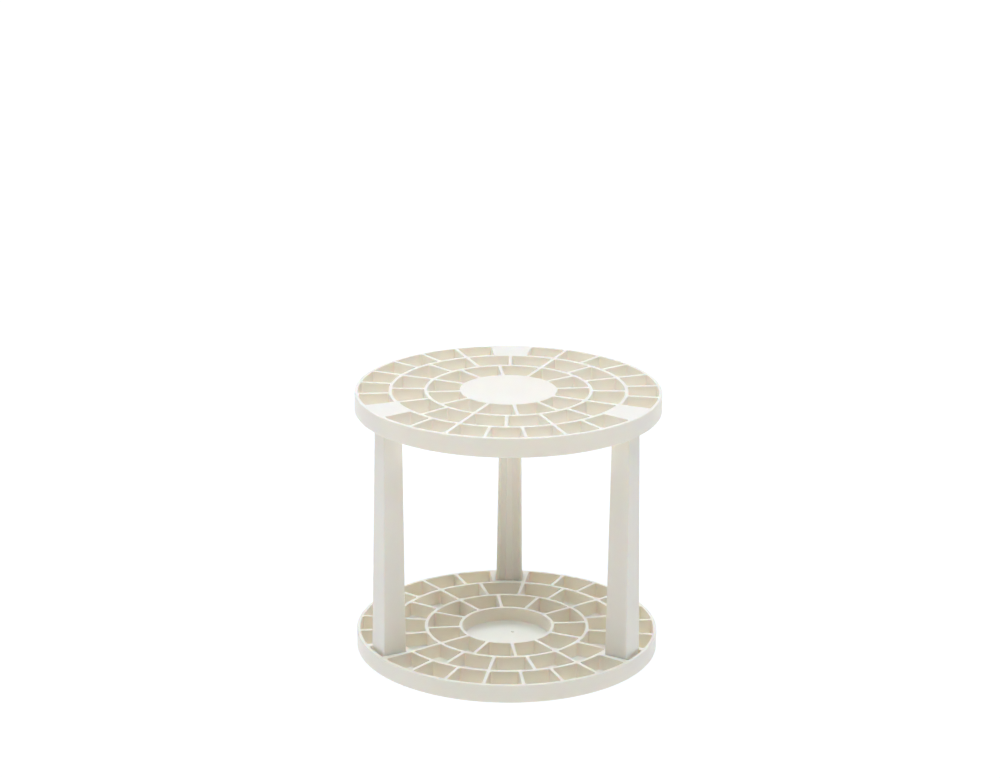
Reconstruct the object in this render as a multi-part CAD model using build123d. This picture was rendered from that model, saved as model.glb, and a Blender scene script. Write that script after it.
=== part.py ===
from build123d import *
import math
import os

# Round carousel for brushes, pens and small tools. All lengths are in millimetres.
# The table is z = 0 and the turning axis is the Z axis. A low base stands still on the table. A ball
# race carries the tray, three posts and the top disc, which turn on it without limit.

# ---- whole object
DISC_R = 80.0            # outer radius of the tray and of the top disc
SKIRT_GAP = 3.0          # the tray's skirt turns this far above the table
TRAY_H = 9.6             # skirt's lower edge to the top of the tray's walls
CLEAR_H = 121.8          # between the tray's top and the top disc's lower edge
TOP_H = 10.2             # height of the top disc
WALL = 1.8               # thickness of every dividing wall and of the rims
RING_PITCH = 18.5        # radial distance between the middles of the ring walls
INNER_WALL_R = 24.5      # middle of the smallest ring wall

# ---- dividing walls: how many in each ring of cells, and where the first one stands
INNER_WALLS = 12
MIDDLE_WALLS = 16
OUTER_WALLS = 24
INNER_START = 7.5
OUTER_START = 7.5
MIDDLE_START_TOP = 0.0
MIDDLE_START_TRAY = 15.0  # the tray is the top disc's pattern turned a third of a turn

# ---- floors and plates
CELL_FLOOR = 0.9         # floor under the tray's cells
CELL_DEPTH = 7.6         # of the middle ring of cells, which are over the race
FLOOR_DROP = 0.8         # the floors of the inner and outer rings of cells are this much lower
RECESS_DEPTH = 7.5       # round recess in the middle of the tray
RECESS_FLOOR = 1.2
PLATE = 2.2              # flush plate in the middle of the top disc
NUB_R = 0.8              # moulding gate's stub on the recess floor
NUB_H = 0.35
NUB_AT = (3.0, 8.0)

# ---- posts
POST_ANGLES = {"rear": 90.0, "left": 210.0, "right": 330.0}
POST_OUT_FOOT = 76.8     # radius of the outer face
POST_OUT_HEAD = 75.0
POST_DEPTH_FOOT = 12.8   # along the radius
POST_DEPTH_HEAD = 10.3
POST_WIDTH_FOOT = 14.3   # across the radius
POST_WIDTH_HEAD = 11.3
POST_EDGE = 0.8          # rounding of the long edges
GROOVE_DEPTH = 0.8       # two grooves on the inner side leave a rib between them
POST_SIDE = 1.7
RIB_FOOT = 4.4           # width of the rib
RIB_HEAD = 2.4
SEAT_DEPTH = 2.0         # the post's ends stand this deep in their seats
SEAT_PLAY = 0.3
TENON = (4.0, 6.4, 5.0)  # depth, width and height of the tenon in the top disc
TENON_R = 72.3           # radius of its middle
TENON_PLAY = 0.05

# ---- ball race
BALL_R = 0.8
BALLS = 24
RACE_R = 50.0            # radius of the circle of balls' centres
RACE_Z = 2.85            # height of their centres
RACE_GAP = 1.2           # between the faces of the two rings
GROOVE_PLAY = 0.1
INNER_RING_IN = 44.5
OUTER_RING_OUT = 55.0
RING_CLEAR = 0.4         # each ring stays this far from the part that it doesn't touch
CAGE_THICK = 0.7
CAGE_H = 2.2
POCKET_PLAY = 0.06
EAR_WIDTH = 9.0
EAR_THICK = 1.2
EAR_END_R = 69.5
EAR_SLOT = 12.0          # width of the slot that each ear passes through, under the tray's pads
EAR_SLOT_END = 77.0

# ---- base
BASE_R = 66.0
BASE_Z = 0.6
BASE_THICK = 1.0
LOCATOR_R = (42.7, 44.4)  # ring that centres the inner race
LOCATOR_H = 1.0
HUB_R = (8.0, 10.0)
RIB_COUNT = 6
RIB_WIDTH = 1.6
RIB_H = 0.7
FOOT_R = 4.5
FOOT_AT_R = 58.0
FOOT_COUNT = 6
FOOT_SOCKET = 0.3
FOOT_EDGE = 0.25
BASE_EDGE = 0.3

# ---- screws: shank radius, head radius, head height, length under the head
POST_SCREW = (1.5, 2.75, 1.1, 14.0)
POST_SCREW_R = 73.4
EAR_SCREW = (1.25, 2.35, 0.9, 5.6)
EAR_SCREW_R = 65.0
BASE_SCREW = (1.25, 2.35, 0.9, 2.8)
BASE_SCREW_R = 46.5
HOLE_PLAY = 0.05
DRIVE_SHARE = 0.55       # reach of the driver recess as a share of the head's radius
DRIVE_DEPTH = 0.6
DRIVE_WIDTH = 0.7

# ---- levels that follow from the sizes above
TRAY_Z = SKIRT_GAP
TRAY_TOP = TRAY_Z + TRAY_H
TOP_Z = TRAY_TOP + CLEAR_H
TOP_TOP = TOP_Z + TOP_H
FLOOR_TOP = TRAY_TOP - CELL_DEPTH
FLOOR_Z = FLOOR_TOP - CELL_FLOOR
LOW_Z = FLOOR_Z - FLOOR_DROP
LOW_TOP = FLOOR_TOP - FLOOR_DROP
RECESS_TOP = TRAY_TOP - RECESS_DEPTH
RECESS_Z = RECESS_TOP - RECESS_FLOOR
POST_Z = TRAY_TOP - SEAT_DEPTH
POST_TOP = TOP_Z + SEAT_DEPTH
BASE_TOP = BASE_Z + BASE_THICK
HALF = WALL / 2
RING_WALLS = [INNER_WALL_R + k * RING_PITCH for k in range(3)]
RIM_IN = DISC_R - WALL
PAD_ANGLE = 360 / OUTER_WALLS
BALL_ANGLES = [k * 360 / BALLS for k in range(BALLS)]
FOOT_ANGLES = [k * 360 / FOOT_COUNT for k in range(FOOT_COUNT)]
BASE_SCREW_ANGLES = [30.0, 150.0, 270.0]
UP = (Align.CENTER, Align.CENTER, Align.MIN)


def disc(radius, z0, z1, at=(0, 0)):
    """Upright cylinder between two heights."""
    return Pos(at[0], at[1], z0) * Cylinder(radius, z1 - z0, align=UP)


def ring(r_in, r_out, z0, z1):
    """Upright tube between two heights."""
    return disc(r_out, z0, z1) - disc(r_in, z0, z1)


def block(r0, r1, width, z0, z1, angle):
    """Straight bar along a radius, centred on an angle."""
    size = (r1 - r0, width, z1 - z0)
    return Rot(0, 0, angle) * Pos(r0, 0, z0) * Box(*size, align=(Align.MIN, Align.CENTER, Align.MIN))


def polar(radius, angle):
    """Point at a radius and an angle in degrees."""
    return radius * math.cos(math.radians(angle)), radius * math.sin(math.radians(angle))


def spokes(count, start, wall_in, wall_out, z0, z1):
    """Radial walls between two ring walls. Their ends run into the middles of the ring walls."""
    return [block(wall_in, wall_out, WALL, z0, z1, start + k * 360 / count) for k in range(count)]


def pad(angle, z0, z1):
    """Solid sector of the outer ring of cells, where a post stands."""
    half = PAD_ANGLE / 2
    inner, outer = RING_WALLS[2], RIM_IN + HALF
    edges = [polar(inner, angle - half), polar(outer, angle - half), polar(outer, angle + half),
             polar(inner, angle + half)]
    far = polar(outer / math.cos(math.radians(half)), angle)
    outline = Polyline(edges[0], edges[1], far, edges[2], edges[3], close=True)
    return extrude(Pos(0, 0, z0) * make_face(outline), z1 - z0) & disc(outer, z0, z1)


def cell_walls(middle_start, z0, z1):
    """The ring walls, the radial walls and the rim, which both discs share."""
    walls = ring(RIM_IN, DISC_R, z0, z1)
    for radius in RING_WALLS:
        walls += ring(radius - HALF, radius + HALF, z0, z1)
    walls += spokes(INNER_WALLS, INNER_START, RING_WALLS[0], RING_WALLS[1], z0, z1)
    walls += spokes(MIDDLE_WALLS, middle_start, RING_WALLS[1], RING_WALLS[2], z0, z1)
    walls += spokes(OUTER_WALLS, OUTER_START, RING_WALLS[2], RIM_IN + HALF, z0, z1)
    return walls


def seat(angle, z0, z1, depth, width, outer):
    """Pocket that an end of a post stands in. It is open to the rim on its outer side."""
    inner = outer - depth - SEAT_PLAY
    return block(inner, RIM_IN, width + 2 * SEAT_PLAY, z0, z1, angle)


def make_top_disc():
    body = cell_walls(MIDDLE_START_TOP, TOP_Z, TOP_TOP)
    body += disc(RING_WALLS[0], TOP_TOP - PLATE, TOP_TOP)
    for angle in POST_ANGLES.values():
        body += pad(angle, TOP_Z, TOP_TOP)
    depth, width, height = TENON
    for angle in POST_ANGLES.values():
        body -= seat(angle, TOP_Z, POST_TOP, POST_DEPTH_HEAD, POST_WIDTH_HEAD, POST_OUT_HEAD)
        body -= block(TENON_R - depth / 2 - TENON_PLAY, TENON_R + depth / 2 + TENON_PLAY,
                      width + 2 * TENON_PLAY, POST_TOP, POST_TOP + height + 2 * TENON_PLAY, angle)
    return body


def make_tray():
    inner, middle, outer = RING_WALLS
    body = cell_walls(MIDDLE_START_TRAY, LOW_Z, TRAY_TOP)
    body -= ring(middle + HALF, outer - HALF, LOW_Z, FLOOR_Z)
    body += ring(inner, middle, LOW_Z, LOW_TOP)
    body += ring(middle, outer, FLOOR_Z, FLOOR_TOP)
    body += ring(outer, DISC_R - HALF, LOW_Z, LOW_TOP)
    body += ring(RIM_IN, DISC_R, TRAY_Z, LOW_Z)
    body += disc(inner, RECESS_Z, RECESS_TOP)
    body += disc(NUB_R, RECESS_TOP, RECESS_TOP + NUB_H, NUB_AT)
    for angle in POST_ANGLES.values():
        body -= block(outer - WALL, EAR_SLOT_END, EAR_SLOT, LOW_Z, FLOOR_Z, angle)
        body += pad(angle, FLOOR_Z, TRAY_TOP)
    for angle in POST_ANGLES.values():
        body -= seat(angle, POST_Z, TRAY_TOP, POST_DEPTH_FOOT, POST_WIDTH_FOOT, POST_OUT_FOOT)
        body -= disc(POST_SCREW[0] + HOLE_PLAY, FLOOR_Z, POST_Z, polar(POST_SCREW_R, angle))
        shank = EAR_SCREW[3] - EAR_THICK + HOLE_PLAY
        body -= disc(EAR_SCREW[0] + HOLE_PLAY, FLOOR_Z, FLOOR_Z + shank, polar(EAR_SCREW_R, angle))
    return body


def post_groove(side):
    """Tapered groove on one side of the post's inner rib."""
    sections = []
    for outer, depth, width, rib, z in (
        (POST_OUT_FOOT, POST_DEPTH_FOOT, POST_WIDTH_FOOT, RIB_FOOT, POST_Z),
        (POST_OUT_HEAD, POST_DEPTH_HEAD, POST_WIDTH_HEAD, RIB_HEAD, POST_TOP),
    ):
        across = width / 2 - POST_SIDE - rib / 2
        middle = side * (rib + across) / 2
        sections.append(Pos(outer - depth, middle, z) * Rectangle(2 * GROOVE_DEPTH, across))
    return loft(sections)


def make_post(angle):
    """Tapered post with a ribbed inner side, a tenon on its head and a screw hole in its foot."""
    foot_at = POST_OUT_FOOT - POST_DEPTH_FOOT / 2
    head_at = POST_OUT_HEAD - POST_DEPTH_HEAD / 2
    foot = Pos(foot_at, 0, POST_Z) * RectangleRounded(POST_DEPTH_FOOT, POST_WIDTH_FOOT, POST_EDGE)
    head = Pos(head_at, 0, POST_TOP) * RectangleRounded(POST_DEPTH_HEAD, POST_WIDTH_HEAD, POST_EDGE)
    body = loft([foot, head]) - post_groove(1) - post_groove(-1)
    depth, width, height = TENON
    body += block(TENON_R - depth / 2, TENON_R + depth / 2, width, POST_TOP, POST_TOP + height, 0)
    screw_end = FLOOR_Z + POST_SCREW[3] + HOLE_PLAY
    body -= disc(POST_SCREW[0] + HOLE_PLAY, POST_Z, screw_end, (POST_SCREW_R, 0))
    return Rot(0, 0, angle) * body


def race_groove():
    """Ring of round section that the balls run in."""
    return Pos(0, 0, RACE_Z) * Torus(RACE_R, BALL_R + GROOVE_PLAY)


def countersink(size, z, top, at):
    """Screw hole up to a level, with a cone below for the screw's head."""
    shank, head, height, _ = size
    cone = Pos(*at, z) * Cone(head + HOLE_PLAY, shank + HOLE_PLAY, height, align=UP)
    return disc(shank + HOLE_PLAY, z, top, at) + cone


def make_outer_race():
    """Race ring that turns with the tray. Its three ears are screwed up into the tray's pads."""
    body = ring(RACE_R + RACE_GAP / 2, OUTER_RING_OUT, BASE_TOP + RING_CLEAR, FLOOR_Z)
    middle = (RACE_R + OUTER_RING_OUT) / 2
    for angle in POST_ANGLES.values():
        end = EAR_END_R - EAR_WIDTH / 2
        body += block(middle, end, EAR_WIDTH, FLOOR_Z - EAR_THICK, FLOOR_Z, angle)
        body += disc(EAR_WIDTH / 2, FLOOR_Z - EAR_THICK, FLOOR_Z, polar(end, angle))
        body -= countersink(EAR_SCREW, FLOOR_Z - EAR_THICK, FLOOR_Z, polar(EAR_SCREW_R, angle))
    return body - race_groove()


def make_inner_race():
    """Race ring that stands still on the base plate."""
    body = ring(INNER_RING_IN, RACE_R - RACE_GAP / 2, BASE_TOP, FLOOR_Z - RING_CLEAR)
    for angle in BASE_SCREW_ANGLES:
        top = BASE_Z + BASE_SCREW[3] + HOLE_PLAY
        body -= disc(BASE_SCREW[0] + HOLE_PLAY, BASE_TOP, top, polar(BASE_SCREW_R, angle))
    return body - race_groove()


def make_cage():
    """Thin ring with a pocket for each ball."""
    half = CAGE_H / 2
    body = ring(RACE_R - CAGE_THICK / 2, RACE_R + CAGE_THICK / 2, RACE_Z - half, RACE_Z + half)
    for angle in BALL_ANGLES:
        bore = Cylinder(BALL_R + POCKET_PLAY, 2 * RACE_GAP, rotation=(0, 90, 0))
        body -= Rot(0, 0, angle) * Pos(RACE_R, 0, RACE_Z) * bore
    return body


def make_ball(angle):
    """Ball of the race, in its pocket of the cage."""
    return Pos(*polar(RACE_R, angle), RACE_Z) * Sphere(BALL_R)


def make_base():
    """Low plate that stands on its feet and carries the still race ring."""
    body = disc(BASE_R, BASE_Z, BASE_TOP)
    body = chamfer(body.edges().filter_by(GeomType.CIRCLE), BASE_EDGE)
    body += ring(*LOCATOR_R, BASE_TOP, BASE_TOP + LOCATOR_H)
    body += ring(*HUB_R, BASE_TOP, BASE_TOP + RIB_H)
    for k in range(RIB_COUNT):
        middle_in, middle_out = sum(HUB_R) / 2, sum(LOCATOR_R) / 2
        body += block(middle_in, middle_out, RIB_WIDTH, BASE_TOP, BASE_TOP + RIB_H, k * 360 / RIB_COUNT)
    for angle in FOOT_ANGLES:
        body -= disc(FOOT_R + HOLE_PLAY, BASE_Z, BASE_Z + FOOT_SOCKET, polar(FOOT_AT_R, angle))
    for angle in BASE_SCREW_ANGLES:
        body -= countersink(BASE_SCREW, BASE_Z, BASE_TOP, polar(BASE_SCREW_R, angle))
    return body


def make_foot(angle):
    """Round rubber foot, pressed into its socket under the base."""
    foot = disc(FOOT_R, 0, BASE_Z + FOOT_SOCKET, polar(FOOT_AT_R, angle))
    return fillet(foot.edges().group_by(Axis.Z)[0], FOOT_EDGE)


def cross_recess(radius, z, at):
    """Cross-shaped driver recess that opens downwards."""
    arm = Box(2 * radius, DRIVE_WIDTH, DRIVE_DEPTH, align=UP)
    return Pos(*at, z) * (arm + Rot(0, 0, 90) * arm)


def pan_screw(size, top_of_head, at):
    """Screw that points up, with a domed head below."""
    shank, head, height, length = size
    cap = disc(head, top_of_head - height, top_of_head, at)
    cap = fillet(cap.edges().group_by(Axis.Z)[0], height / 2)
    body = cap + disc(shank, top_of_head, top_of_head + length, at)
    return body - cross_recess(head * DRIVE_SHARE, top_of_head - height, at)


def sunk_screw(size, z, at):
    """Screw that points up, with its cone head flush below."""
    shank, head, height, length = size
    body = Pos(*at, z) * Cone(head, shank, height, align=UP)
    body += disc(shank, z, z + length, at)
    return body - cross_recess(head * DRIVE_SHARE, z, at)


os.makedirs("parts", exist_ok=True)

nodes = {
    "top_disc": [make_top_disc()],
    "tray": [make_tray()],
    "outer_race": [make_outer_race()],
    "inner_race": [make_inner_race()],
    "ball_cage": [make_cage()],
    "base_plate": [make_base()],
    "post_screws": [pan_screw(POST_SCREW, FLOOR_Z, polar(POST_SCREW_R, a)) for a in POST_ANGLES.values()],
    "race_screws": [sunk_screw(EAR_SCREW, FLOOR_Z - EAR_THICK, polar(EAR_SCREW_R, a))
                    for a in POST_ANGLES.values()],
    "base_screws": [sunk_screw(BASE_SCREW, BASE_Z, polar(BASE_SCREW_R, a)) for a in BASE_SCREW_ANGLES],
}
for name, angle in POST_ANGLES.items():
    nodes[f"{name}_post"] = [make_post(angle)]
for k, angle in enumerate(FOOT_ANGLES):
    nodes[f"rubber_foot_{k + 1}"] = [make_foot(angle)]
for k, angle in enumerate(BALL_ANGLES):
    nodes[f"race_ball_{k + 1:02d}"] = [make_ball(angle)]

for name, solids in nodes.items():
    shape = solids[0] if len(solids) == 1 else Compound(children=solids)
    export_step(shape, f"parts/{name}.step")
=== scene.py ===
import math

import bmesh
import bpy
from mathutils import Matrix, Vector


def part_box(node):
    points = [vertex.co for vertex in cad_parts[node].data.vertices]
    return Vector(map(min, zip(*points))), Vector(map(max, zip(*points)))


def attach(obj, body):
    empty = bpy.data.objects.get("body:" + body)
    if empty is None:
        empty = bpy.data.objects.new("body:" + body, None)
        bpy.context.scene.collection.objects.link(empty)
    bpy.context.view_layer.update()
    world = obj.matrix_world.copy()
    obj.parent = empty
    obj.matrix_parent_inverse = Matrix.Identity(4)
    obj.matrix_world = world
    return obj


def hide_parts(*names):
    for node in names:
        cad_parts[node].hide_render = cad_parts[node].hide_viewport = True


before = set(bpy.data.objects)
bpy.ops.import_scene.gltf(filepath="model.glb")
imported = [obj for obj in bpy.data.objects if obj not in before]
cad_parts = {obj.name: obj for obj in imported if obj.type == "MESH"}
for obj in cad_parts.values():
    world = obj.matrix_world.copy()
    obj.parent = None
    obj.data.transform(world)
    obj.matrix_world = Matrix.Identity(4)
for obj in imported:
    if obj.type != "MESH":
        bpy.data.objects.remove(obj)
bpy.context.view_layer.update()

# A round carousel for brushes and pens: two moulded discs of cells on three posts, which turn on a
# ball race hidden under the lower disc. The mouldings are built here, with rounded edges. Their
# levels come from the frame. Sizes within them are in metres, written as millimetres times MM.
MM = 0.001

top_low, top_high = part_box("top_disc")
tray_low, tray_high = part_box("tray")
TOP_Z, TOP_TOP = top_low.z, top_high.z
TRAY_Z, TRAY_TOP = tray_low.z, tray_high.z
DISC_R = top_high.x
POST_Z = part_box("rear_post")[0].z
RACE_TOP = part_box("outer_race")[1].z

# ---- walls and cells
WALL = 1.8 * MM
HALF = WALL / 2
RING_WALLS = [24.5 * MM, 43.0 * MM, 61.5 * MM]
RIM_IN = DISC_R - WALL
INNER_WALLS, INNER_START = 12, 7.5
MIDDLE_WALLS, MIDDLE_START_TOP, MIDDLE_START_TRAY = 16, 0.0, 15.0
OUTER_WALLS, OUTER_START = 24, 7.5
POST_ANGLES = {"rear": 90.0, "left": 210.0, "right": 330.0}
CORNER = 0.9 * MM        # rounding of a cell's upright corners
LIP = 0.32 * MM          # rounding of the walls' upper and lower edges
RIM_LIP = 0.55 * MM      # rounding of the rims' outer edges
FOOT_FILLET = 0.5 * MM   # where a wall meets a floor

# ---- floors and plates
FLOOR_Z = RACE_TOP       # underside of the middle ring of cells and of the pads
FLOOR_THICK = 0.9 * MM
FLOOR_TOP = FLOOR_Z + FLOOR_THICK
FLOOR_DROP = 0.8 * MM    # the floors of the inner and outer rings of cells are this much lower
LOW_Z, LOW_TOP = FLOOR_Z - FLOOR_DROP, FLOOR_TOP - FLOOR_DROP
LOW_LIP = 0.12 * MM
RECESS_LIFT, RECESS_THICK = 0.9 * MM, 1.2 * MM
RECESS_Z = TRAY_Z + RECESS_LIFT
RECESS_TOP = RECESS_Z + RECESS_THICK
PLATE = 2.2 * MM
NUB_R, NUB_H, NUB_AT = 0.8 * MM, 0.35 * MM, (3.0 * MM, 8.0 * MM)

# ---- posts: foot and head values of the outer radius, depth, width and rib width
HEAD_DEPTH = 2.0 * MM    # how far a post's head stands in the top disc
POST_TOP = TOP_Z + HEAD_DEPTH
POST_FOOT = (76.8 * MM, 12.8 * MM, 14.3 * MM, 4.4 * MM)
POST_HEAD = (75.0 * MM, 10.3 * MM, 11.3 * MM, 2.4 * MM)
POST_EDGE = 0.8 * MM
POST_SIDE = 1.7 * MM
POST_RINGS = 9
GROOVE_DEPTH = 0.8 * MM
GROOVE_EDGE = 0.35 * MM
SEAT_PLAY = 0.3 * MM
SEAT_CORNER = 0.6 * MM
SEAT_LIP = 0.15 * MM
TENON_R, TENON_DEPTH, TENON_WIDTH, TENON_H = 72.3 * MM, 4.0 * MM, 6.4 * MM, 5.0 * MM
TENON_CORNER, TENON_PLAY = 0.3 * MM, 0.05 * MM
POST_SCREW_R, POST_HOLE, POST_HOLE_TOP = 73.4 * MM, 1.55 * MM, FLOOR_Z + 14.05 * MM
EAR_SCREW_R, EAR_HOLE, EAR_HOLE_TOP = 65.0 * MM, 1.3 * MM, FLOOR_Z + 4.45 * MM
EAR_SLOT, EAR_SLOT_END, EAR_SLOT_CORNER = 12.0 * MM, 77.0 * MM, 1.0 * MM

# ---- how finely curves are cut
ROUND_STEPS = 4
CORNER_STEPS = 4
ARC_STEP = 2.0           # degrees
RIM_STEPS = 240
BORE_STEPS = 28
SHARP = math.radians(40)  # edges that turn more than this stay crisp


# ================================================================ outlines
def polar(radius, angle):
    """Point at a radius and an angle in degrees."""
    return radius * math.cos(math.radians(angle)), radius * math.sin(math.radians(angle))


def arc(centre, radius, start, end, steps):
    """Points along an arc, both ends included. Angles are in degrees."""
    points = []
    for k in range(steps + 1):
        x, y = polar(radius, start + (end - start) * k / steps)
        points.append((centre[0] + x, centre[1] + y))
    return points


def circle(radius, at=(0, 0), steps=RIM_STEPS):
    """Outline of a round boss or hole, as a function of how far it is grown."""
    return lambda grow: arc(at, radius + grow, 0, 360 * (1 - 1 / steps), steps - 1)


def turned(points, angle):
    """Points turned about the Z axis by an angle in degrees."""
    c, s = math.cos(math.radians(angle)), math.sin(math.radians(angle))
    return [(x * c - y * s, x * s + y * c) for x, y in points]


def rounded(corners, radii):
    """Closed polygon whose corners are rounded to the given radii."""
    points = []
    for k, here in enumerate(corners):
        here, radius = Vector(here), radii[k]
        back = (Vector(corners[k - 1]) - here).normalized()
        ahead = (Vector(corners[(k + 1) % len(corners)]) - here).normalized()
        half = back.angle(ahead) / 2
        centre = here + (back + ahead).normalized() * radius / math.sin(half)
        start = here + back * radius / math.tan(half) - centre
        end = here + ahead * radius / math.tan(half) - centre
        sweep = start.angle_signed(end)
        for step in range(CORNER_STEPS + 1):
            turn = -sweep * step / CORNER_STEPS
            c, s = math.cos(turn), math.sin(turn)
            points.append((centre.x + start.x * c - start.y * s,
                           centre.y + start.x * s + start.y * c))
    return points


def rectangle(r_in, r_out, width, corner, angle):
    """Outline of a rectangular pocket or tenon along a radius, as a function of its growth."""
    def outline(grow):
        low, high, half = r_in - grow, r_out + grow, width / 2 + grow
        corners = [(low, -half), (high, -half), (high, half), (low, half)]
        return turned(rounded(corners, [corner + grow] * 4), angle)
    return outline


def cell(r_in, r_out, first, last):
    """Outline of the cell between two ring walls and two radial walls, with rounded corners."""
    def outline(grow):
        low, high, side, corner = r_in - grow, r_out + grow, HALF - grow, CORNER + grow
        lean_in = math.degrees(math.asin((side + corner) / (low + corner)))
        lean_out = math.degrees(math.asin((side + corner) / (high - corner)))
        steps = max(3, round((last - first) / ARC_STEP))
        points = arc(polar(high - corner, first + lean_out), corner, first - 90, first + lean_out,
                     CORNER_STEPS)
        points += arc((0, 0), high, first + lean_out, last - lean_out, steps)[1:-1]
        points += arc(polar(high - corner, last - lean_out), corner, last - lean_out, last + 90,
                      CORNER_STEPS)
        points += arc(polar(low + corner, last - lean_in), corner, last + 90, last + 180 - lean_in,
                      CORNER_STEPS)
        points += arc((0, 0), low, last - lean_in, first + lean_in, steps)[1:-1]
        points += arc(polar(low + corner, first + lean_in), corner, first + 180 + lean_in,
                      first + 270, CORNER_STEPS)
        return points
    return outline


def slotted(radius):
    """Circle with a slot outwards from it under each pad, as a function of its growth."""
    share = 360 / len(POST_ANGLES)

    def outline(grow):
        r, half, end = radius + grow, EAR_SLOT / 2 + grow, EAR_SLOT_END + grow
        corner = EAR_SLOT_CORNER
        lean = math.degrees(math.asin(half / r))
        points = []
        for angle in POST_ANGLES.values():
            slot = [(r * math.cos(math.radians(lean)), -half)]
            slot += arc((end - corner, corner - half), corner, -90, 0, CORNER_STEPS)
            slot += arc((end - corner, half - corner), corner, 0, 90, CORNER_STEPS)
            slot += arc((0, 0), r, lean, share - lean, RIM_STEPS // len(POST_ANGLES))[:-1]
            points += turned(slot, angle)
        return points
    return outline


def all_cells(middle_start):
    """Row and outline of every cell. The outer row leaves out the sectors where the posts stand."""
    found = []
    rows = [
        (RING_WALLS[0] + HALF, RING_WALLS[1] - HALF, INNER_WALLS, INNER_START),
        (RING_WALLS[1] + HALF, RING_WALLS[2] - HALF, MIDDLE_WALLS, middle_start),
        (RING_WALLS[2] + HALF, RIM_IN, OUTER_WALLS, OUTER_START),
    ]
    for row, (r_in, r_out, count, start) in enumerate(rows):
        for k in range(count):
            first = start + k * 360 / count
            last = first + 360 / count
            solid = count == OUTER_WALLS and (first + last) / 2 % 360 in POST_ANGLES.values()
            if not solid:
                found.append((row, cell(r_in, r_out, first, last)))
    return found


# ================================================================ edge profiles
def lip(z, radius, into):
    """Rounded edge where a flat face turns into a wall: pairs of growth and height. `into` is the
    direction of the wall from the face, 1 for up and -1 for down."""
    pairs = []
    for k in range(ROUND_STEPS + 1):
        turn = math.pi / 2 * k / ROUND_STEPS
        pairs.append((radius * (1 - math.sin(turn)), z + into * radius * (1 - math.cos(turn))))
    return pairs


def shrunk(pairs):
    """The same edge on the outside of a boss instead of in a hole."""
    return [(-grow, z) for grow, z in pairs]


def fillet(z, radius, away):
    """Hollow rounding where a wall meets a floor. `away` is the wall's direction from the floor."""
    return [(-grow, height) for grow, height in reversed(lip(z, radius, away))]


# ================================================================ skins
class Skin:
    """Closed surface made of rings of points, each ring level."""

    def __init__(self):
        self.mesh = bmesh.new()

    def sweep(self, outline, profile):
        """Wall through an outline grown and lifted along a profile. Gives its end rings."""
        rings = [[self.mesh.verts.new((x, y, z)) for x, y in outline(grow)] for grow, z in profile]
        for low, high in zip(rings, rings[1:]):
            for k in range(len(low)):
                self.mesh.faces.new((low[k - 1], low[k], high[k], high[k - 1]))
        return rings[0], rings[-1]

    def level(self, *rings):
        """Flat face inside the first ring, with the others as holes in it."""
        if len(rings) == 1:
            self.mesh.faces.new(rings[0])
            return
        edges = [self.mesh.edges.get((ring[k - 1], ring[k]))
                 for ring in rings for k in range(len(ring))]
        bmesh.ops.triangle_fill(self.mesh, use_beauty=True, edges=edges, normal=(0, 0, 1))

    def piece(self, name, material):
        """Blender object with smooth shading that stays flat on the flat faces."""
        bmesh.ops.recalc_face_normals(self.mesh, faces=self.mesh.faces)
        data = bpy.data.meshes.new(name)
        self.mesh.to_mesh(data)
        self.mesh.free()
        data.shade_smooth()
        data.set_sharp_from_angle(angle=SHARP)
        data.materials.append(material)
        made = bpy.data.objects.new(name, data)
        bpy.context.scene.collection.objects.link(made)
        weighted = made.modifiers.new("even_normals", "WEIGHTED_NORMAL")
        weighted.mode = "FACE_AREA"
        weighted.keep_sharp = True
        return made


# ================================================================ materials
# Colours are pairs, which noise mixes. Roughness is a pair too. Scales are in waves per metre.
IVORY = (0.91, 0.853, 0.735), (0.93, 0.877, 0.765)
STONE = (0.74, 0.72, 0.67), (0.80, 0.78, 0.73)
NYLON = (0.60, 0.57, 0.49), (0.66, 0.63, 0.55)
DARK_RUBBER = (0.035, 0.035, 0.037), (0.075, 0.073, 0.07)
ALUMINIUM = (0.76, 0.77, 0.78), (0.84, 0.84, 0.85)
STEEL = (0.72, 0.72, 0.73), (0.80, 0.80, 0.80)
ZINC = (0.60, 0.60, 0.62), (0.72, 0.72, 0.72)
PAPER = (0.18, 0.18, 0.18), (0.22, 0.22, 0.22)
NOISE_LOW, NOISE_HIGH = 0.3, 0.7  # nearly all of a noise texture lies between these
MIX_FACTOR, MIX_FIRST, MIX_SECOND, MIX_RESULT = 0, 6, 7, 2  # the mix node's colour sockets


def node_material(name):
    """New node material with its shader, and object coordinates that ride with the piece."""
    material = bpy.data.materials.new(name)
    material.use_nodes = True
    tree = material.node_tree
    shader = tree.nodes["Principled BSDF"]
    coordinates = tree.nodes.new("ShaderNodeTexCoord").outputs["Object"]
    return material, tree, shader, coordinates


def ranged(tree, value, from_low, from_high, low, high):
    """Value mapped from one range to another."""
    node = tree.nodes.new("ShaderNodeMapRange")
    node.inputs["From Min"].default_value = from_low
    node.inputs["From Max"].default_value = from_high
    node.inputs["To Min"].default_value = low
    node.inputs["To Max"].default_value = high
    tree.links.new(value, node.inputs["Value"])
    return node.outputs["Result"]


def noise(tree, coordinates, scale, detail, low=0, high=1):
    """Noise over the object, mapped to a range."""
    texture = tree.nodes.new("ShaderNodeTexNoise")
    texture.inputs["Scale"].default_value = scale
    texture.inputs["Detail"].default_value = detail
    tree.links.new(coordinates, texture.inputs["Vector"])
    return ranged(tree, texture.outputs["Fac"], NOISE_LOW, NOISE_HIGH, low, high)


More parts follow.
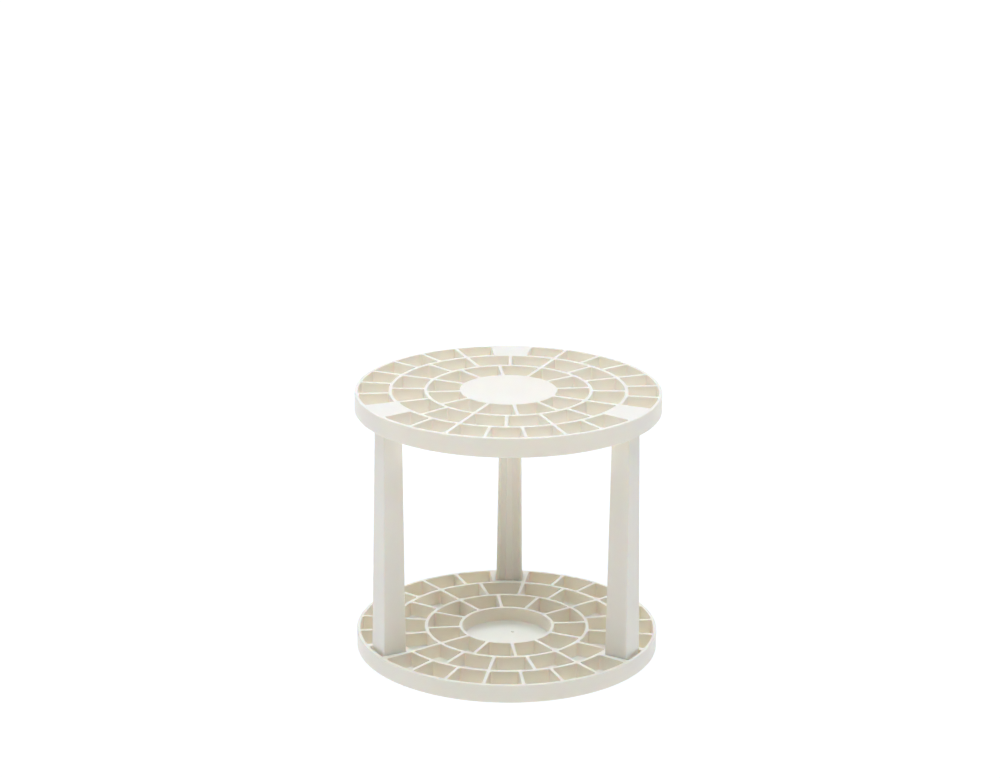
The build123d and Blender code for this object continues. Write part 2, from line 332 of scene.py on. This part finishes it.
def tint(tree, factor, colours):
    """Colour between two, by a factor."""
    mix = tree.nodes.new("ShaderNodeMix")
    mix.data_type = "RGBA"
    tree.links.new(factor, mix.inputs[MIX_FACTOR])
    mix.inputs[MIX_FIRST].default_value = (*colours[0], 1)
    mix.inputs[MIX_SECOND].default_value = (*colours[1], 1)
    return mix.outputs[MIX_RESULT]


def bump(tree, height, distance, strength, below=None):
    """Bump of a given depth, on top of another one if there is one below."""
    node = tree.nodes.new("ShaderNodeBump")
    node.inputs["Distance"].default_value = distance
    node.inputs["Strength"].default_value = strength
    tree.links.new(height, node.inputs["Height"])
    if below is not None:
        tree.links.new(below, node.inputs["Normal"])
    return node.outputs["Normal"]


def moulded_plastic():
    """Ivory styrene with a soft shine, a faint flow ripple and a fine grain."""
    material, tree, shader, at = node_material("moulded_plastic")
    colour = tint(tree, noise(tree, at, scale=45, detail=3), IVORY)
    rough = noise(tree, at, scale=160, detail=4, low=0.30, high=0.42)
    ripple = bump(tree, noise(tree, at, scale=130, detail=1), 0.05 * MM, strength=0.5)
    fine = noise(tree, at, scale=2600, detail=2)
    grain = bump(tree, fine, 0.008 * MM, strength=0.5, below=ripple)
    tree.links.new(colour, shader.inputs["Base Color"])
    tree.links.new(rough, shader.inputs["Roughness"])
    tree.links.new(grain, shader.inputs["Normal"])
    shader.inputs["IOR"].default_value = 1.5
    shader.inputs["Subsurface Weight"].default_value = 0.5
    shader.inputs["Subsurface Radius"].default_value = (1.0, 0.62, 0.34)
    shader.inputs["Subsurface Scale"].default_value = 2.5 * MM
    return material


def matte_plastic(name, colours, grain_scale):
    """Plastic from a spark-eroded mould: an even fine grain with little shine."""
    material, tree, shader, at = node_material(name)
    colour = tint(tree, noise(tree, at, scale=60, detail=3), colours)
    rough = noise(tree, at, scale=300, detail=3, low=0.5, high=0.65)
    grain = bump(tree, noise(tree, at, scale=grain_scale, detail=3), 0.03 * MM, strength=0.6)
    tree.links.new(colour, shader.inputs["Base Color"])
    tree.links.new(rough, shader.inputs["Roughness"])
    tree.links.new(grain, shader.inputs["Normal"])
    return material


def rubber():
    """Dark grey rubber with a dusty bloom."""
    material, tree, shader, at = node_material("rubber")
    dust = noise(tree, at, scale=900, detail=5)
    rough = noise(tree, at, scale=500, detail=3, low=0.7, high=0.9)
    tree.links.new(tint(tree, dust, DARK_RUBBER), shader.inputs["Base Color"])
    tree.links.new(rough, shader.inputs["Roughness"])
    tree.links.new(bump(tree, dust, 0.03 * MM, strength=0.7), shader.inputs["Normal"])
    return material


def metal(name, colours, roughness, lines):
    """Metal with turned or drawn marks: fine rings about the Z axis, `lines` being their scale."""
    material, tree, shader, at = node_material(name)
    colour = tint(tree, noise(tree, at, scale=400, detail=4), colours)
    rough = noise(tree, at, scale=900, detail=4, low=roughness[0], high=roughness[1])
    wave = tree.nodes.new("ShaderNodeTexWave")
    wave.wave_type = "RINGS"
    wave.rings_direction = "Z"
    wave.inputs["Scale"].default_value = lines
    wave.inputs["Distortion"].default_value = 0.6
    tree.links.new(at, wave.inputs["Vector"])
    marks = bump(tree, wave.outputs["Fac"], 0.01 * MM, strength=0.4)
    tree.links.new(colour, shader.inputs["Base Color"])
    tree.links.new(rough, shader.inputs["Roughness"])
    tree.links.new(marks, shader.inputs["Normal"])
    shader.inputs["Metallic"].default_value = 1.0
    return material


def give(material, *starts):
    """Material for the CAD nodes whose names start so. They are shown as they are."""
    for name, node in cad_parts.items():
        if name.startswith(starts):
            for place in node.material_slots:
                place.material = material


def soften(width, *starts):
    """Small rounding on the edges of the CAD nodes whose names start so."""
    for name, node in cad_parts.items():
        if name.startswith(starts):
            node.modifiers.new("joined", "WELD").merge_threshold = 0.001 * MM
            edge = node.modifiers.new("edge", "BEVEL")
            edge.width = width
            edge.segments = 3
            edge.angle_limit = SHARP
            edge.harden_normals = True


# ================================================================ mouldings
def post_seat(skin, angle, end, face, depth_z, into):
    """Seat for an end of a post, out to the rim's wall. Gives the rings at its face and floor."""
    outer, depth, width, _ = end
    outline = rectangle(outer - depth - SEAT_PLAY, RIM_IN, width + 2 * SEAT_PLAY, SEAT_CORNER,
                        angle)
    return skin.sweep(outline, lip(face, SEAT_LIP, into) + fillet(depth_z, SEAT_LIP, -into))


def make_top_disc(material):
    """Disc of open cells with a closed middle, solid pads over the posts and a mortise in each."""
    skin = Skin()
    through = lip(TOP_TOP, LIP, -1) + list(reversed(lip(TOP_Z, LIP, 1)))
    outside = shrunk(lip(TOP_TOP, RIM_LIP, -1)) + list(reversed(shrunk(lip(TOP_Z, RIM_LIP, 1))))
    rim_top, rim_below = skin.sweep(circle(DISC_R), outside)
    top, below = [rim_top], [rim_below]
    for _, outline in all_cells(MIDDLE_START_TOP):
        first, last = skin.sweep(outline, through)
        top.append(first)
        below.append(last)
    cup = lip(TOP_Z, LIP, 1) + fillet(TOP_TOP - PLATE, FOOT_FILLET, -1)
    cup_mouth, cup_floor = skin.sweep(circle(RING_WALLS[0] - HALF), cup)
    below.append(cup_mouth)
    skin.level(cup_floor)
    for angle in POST_ANGLES.values():
        mouth, floor = post_seat(skin, angle, POST_HEAD, TOP_Z, POST_TOP, 1)
        below.append(mouth)
        half = TENON_DEPTH / 2 + TENON_PLAY
        mortise = rectangle(TENON_R - half, TENON_R + half, TENON_WIDTH + 2 * TENON_PLAY,
                            TENON_CORNER, angle)
        mortise_top = POST_TOP + TENON_H + 2 * TENON_PLAY
        open_end, closed_end = skin.sweep(mortise, [(0, POST_TOP), (0, mortise_top)])
        skin.level(floor, open_end)
        skin.level(closed_end)
    skin.level(*top)
    skin.level(*below)
    return skin.piece("top_disc_moulding", material)


def make_tray(material):
    """Disc of floored cells with a round recess in the middle, seats for the posts and a skirt."""
    skin = Skin()
    inner, middle, outer = RING_WALLS
    # underside: the skirt, the low outer row with its slots, the race's place, the low inner row
    outside = shrunk(lip(TRAY_TOP, RIM_LIP, -1)) + list(reversed(shrunk(lip(TRAY_Z, LIP, 1))))
    rim_top, rim_below = skin.sweep(circle(DISC_R), outside)
    skirt = lip(TRAY_Z, LOW_LIP, 1) + fillet(LOW_Z, LOW_LIP, -1)
    skirt_mouth, skirt_end = skin.sweep(circle(RIM_IN), skirt)
    skin.level(rim_below, skirt_mouth)
    step_up = lip(LOW_Z, LOW_LIP, 1) + fillet(FLOOR_Z, LOW_LIP, -1)
    slots_mouth, slots_end = skin.sweep(slotted(outer - HALF), step_up)
    skin.level(skirt_end, slots_mouth)
    step_down = list(reversed(shrunk(step_up)))
    low_start, low_end = skin.sweep(circle(middle + HALF), step_down)
    underside = [slots_end, low_start]
    cup = lip(LOW_Z, LOW_LIP, 1) + fillet(RECESS_Z, LOW_LIP, -1)
    cup_mouth, cup_end = skin.sweep(circle(inner - HALF), cup)
    skin.level(low_end, cup_mouth)
    skin.level(cup_end)
    # upper side: the cells, the recess and the seats
    top = [rim_top]
    for row, outline in all_cells(MIDDLE_START_TRAY):
        bottom = FLOOR_TOP if row == 1 else LOW_TOP
        mouth, floor = skin.sweep(outline, lip(TRAY_TOP, LIP, -1) + fillet(bottom, FOOT_FILLET, 1))
        top.append(mouth)
        skin.level(floor)
    recess = lip(TRAY_TOP, LIP, -1) + fillet(RECESS_TOP, FOOT_FILLET, 1)
    mouth, floor = skin.sweep(circle(inner - HALF), recess)
    top.append(mouth)
    nub = [(0, RECESS_TOP)] + shrunk(lip(RECESS_TOP + NUB_H, NUB_H / 2, -1))[::-1]
    nub_start, nub_end = skin.sweep(circle(NUB_R, NUB_AT, BORE_STEPS), nub)
    skin.level(floor, nub_start)
    skin.level(nub_end)
    for angle in POST_ANGLES.values():
        mouth, floor = post_seat(skin, angle, POST_FOOT, TRAY_TOP, POST_Z, -1)
        top.append(mouth)
        bore = circle(POST_HOLE, polar(POST_SCREW_R, angle), BORE_STEPS)
        bore_low, bore_high = skin.sweep(bore, [(0, FLOOR_Z), (0, POST_Z)])
        skin.level(floor, bore_high)
        ear_bore = circle(EAR_HOLE, polar(EAR_SCREW_R, angle), BORE_STEPS)
        ear_low, ear_high = skin.sweep(ear_bore, [(0, FLOOR_Z), (0, EAR_HOLE_TOP)])
        skin.level(ear_high)
        underside += [bore_low, ear_low]
    skin.level(*top)
    skin.level(*underside)
    return skin.piece("tray_moulding", material)


def post_outline(share, angle):
    """Section of a post at a share of its height: flat outside, with two grooves inside."""
    outer, depth, width, rib = [a + (b - a) * share for a, b in zip(POST_FOOT, POST_HEAD)]
    inner, half, wall = outer - depth, width / 2, width / 2 - POST_SIDE
    bottom = inner + GROOVE_DEPTH
    side = [(inner, rib / 2), (bottom, rib / 2), (bottom, wall), (inner, wall), (inner, half),
            (outer, half)]
    corners = side + [(x, -y) for x, y in reversed(side)]
    radii = [GROOVE_EDGE] * 4 + [GROOVE_EDGE, POST_EDGE]
    return turned(rounded(corners, radii + radii[::-1]), angle)


def make_post(name, angle, material):
    """Tapered post with a tenon on its head and a screw hole in its foot."""
    skin = Skin()
    levels = [k / (POST_RINGS - 1) for k in range(POST_RINGS)]
    profile = [(share, POST_Z + (POST_TOP - POST_Z) * share) for share in levels]
    foot, head = skin.sweep(lambda share: post_outline(share, angle), profile)
    bore = circle(POST_HOLE, polar(POST_SCREW_R, angle), BORE_STEPS)
    bore_low, bore_high = skin.sweep(bore, [(0, POST_Z), (0, POST_HOLE_TOP)])
    skin.level(foot, bore_low)
    skin.level(bore_high)
    half = TENON_DEPTH / 2
    tenon = rectangle(TENON_R - half, TENON_R + half, TENON_WIDTH, TENON_CORNER, angle)
    tip = shrunk(lip(POST_TOP + TENON_H, TENON_CORNER / 2, -1))[::-1]
    tenon_low, tenon_high = skin.sweep(tenon, [(0, POST_TOP)] + tip)
    skin.level(head, tenon_low)
    skin.level(tenon_high)
    return skin.piece(f"{name}_post_moulding", material)


plastic = moulded_plastic()
mouldings = {"top_disc": make_top_disc(plastic), "tray": make_tray(plastic)}
for name, angle in POST_ANGLES.items():
    mouldings[f"{name}_post"] = make_post(name, angle, plastic)
for node, made in mouldings.items():
    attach(made, "carousel")
    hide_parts(node)

give(matte_plastic("base_plastic", STONE, grain_scale=1800), "base_plate")
give(matte_plastic("cage_plastic", NYLON, grain_scale=3000), "ball_cage")
give(metal("turned_aluminium", ALUMINIUM, (0.28, 0.42), lines=900), "outer_race", "inner_race")
give(metal("polished_steel", STEEL, (0.04, 0.10), lines=3000), "race_ball_")
SCREWS = ("post_screws", "race_screws", "base_screws")
give(metal("zinc_plated_steel", ZINC, (0.22, 0.38), lines=2400), *SCREWS)
give(rubber(), "rubber_foot_")
# The outer race keeps its sharp edges: rounding them brings its mesh into the balls.
soften(0.2 * MM, "base_plate", "inner_race")
soften(0.1 * MM, *SCREWS, "ball_cage")


# ================================================================ stage, light and camera
FLOOR_R = 9.0
FLOOR_STEPS = 96
TABLE_Z = -0.02 * MM     # just clear of the undersides of the feet
DAYLIGHT = (0.86, 0.905, 1.0)
PAPER_LIGHT = (0.92, 0.95, 1.0)
FLOOR_GLOW = 0.92        # the table is a sheet lit from below, so that shadows on it stay faint
FAR_GLOW = 1.12          # further out, where the soft boxes don't reach, it glows up to this
FAR_FROM, FAR_TO = 0.8, 2.0  # the radii between which the glow rises
SOFT_BOXES = [           # name, place, width, height and power in watts
    ("front_box", (0, -0.55, 1.5), 1.3, 0.9, 17.2),
    ("rear_box", (0, 1.2, 1.3), 2.2, 0.8, 24.8),
    ("left_box", (-1.3, 0.1, 0.75), 1.0, 0.9, 4.3),
    ("right_box", (1.3, 0.1, 0.75), 1.0, 0.9, 3.0),
]


def studio_floor():
    """Pale paper-like table that glows, more so far out, so that it looks evenly white."""
    mesh = bpy.data.meshes.new("studio_floor")
    edge = [(*polar(FLOOR_R, k * 360 / FLOOR_STEPS), TABLE_Z) for k in range(FLOOR_STEPS)]
    mesh.from_pydata(edge, [], [list(range(FLOOR_STEPS))])
    floor = bpy.data.objects.new("studio_floor", mesh)
    bpy.context.scene.collection.objects.link(floor)
    material, tree, shader, at = node_material("studio_floor")
    colour = tint(tree, noise(tree, at, scale=3, detail=2), PAPER)
    tree.links.new(colour, shader.inputs["Base Color"])
    shader.inputs["Roughness"].default_value = 0.9
    shader.inputs["Specular IOR Level"].default_value = 0.1
    shader.inputs["Emission Color"].default_value = (*PAPER_LIGHT, 1)
    reach = tree.nodes.new("ShaderNodeVectorMath")
    reach.operation = "LENGTH"
    tree.links.new(at, reach.inputs[0])
    glow = ranged(tree, reach.outputs["Value"], FAR_FROM, FAR_TO, FLOOR_GLOW, FAR_GLOW)
    tree.links.new(glow, shader.inputs["Emission Strength"])
    mesh.materials.append(material)


def studio_sky():
    """Surroundings as bright as the far table, so that its edge is not seen. They light nothing."""
    world = bpy.data.worlds.new("studio")
    world.use_nodes = True
    bpy.context.scene.world = world
    background = world.node_tree.nodes["Background"]
    background.inputs["Color"].default_value = (*PAPER_LIGHT, 1)
    background.inputs["Strength"].default_value = FAR_GLOW
    world.cycles_visibility.diffuse = False
    world.cycles_visibility.glossy = False


def soft_box(name, at, width, height, power):
    """Rectangular area light that points at the middle of the object."""
    data = bpy.data.lights.new(name, "AREA")
    data.energy = power
    data.shape = "RECTANGLE"
    data.size = width
    data.size_y = height
    data.color = DAYLIGHT
    light = bpy.data.objects.new(name, data)
    bpy.context.scene.collection.objects.link(light)
    light.location = at
    aim = Vector((0, 0, TOP_Z / 2))
    light.rotation_euler = (aim - light.location).to_track_quat("-Z", "Y").to_euler()


studio_floor()
studio_sky()
for box in SOFT_BOXES:
    soft_box(*box)

# camera: where it aims, and from which side, height and distance
AIM = Vector((-4.4 * MM, 0, TOP_TOP + 0.17 * MM))
AZIMUTH, ELEVATION, ROLL = 1.1715, 17.5514, 0.354
DISTANCE = 1367.45 * MM
LENS = 94.626

camera = bpy.data.objects.new("camera", bpy.data.cameras.new("camera"))
bpy.context.scene.collection.objects.link(camera)
side, rise = math.radians(AZIMUTH), math.radians(ELEVATION)
back = Vector((math.sin(side) * math.cos(rise), -math.cos(side) * math.cos(rise), math.sin(rise)))
camera.location = AIM + back * DISTANCE
camera.rotation_euler = (-back).to_track_quat("-Z", "Y").to_euler()
camera.rotation_euler.rotate_axis("Z", math.radians(ROLL))
camera.data.lens = LENS
camera.data.clip_start = 0.05
camera.data.clip_end = 50
bpy.context.scene.camera = camera
bpy.context.scene.view_settings.view_transform = "Standard"
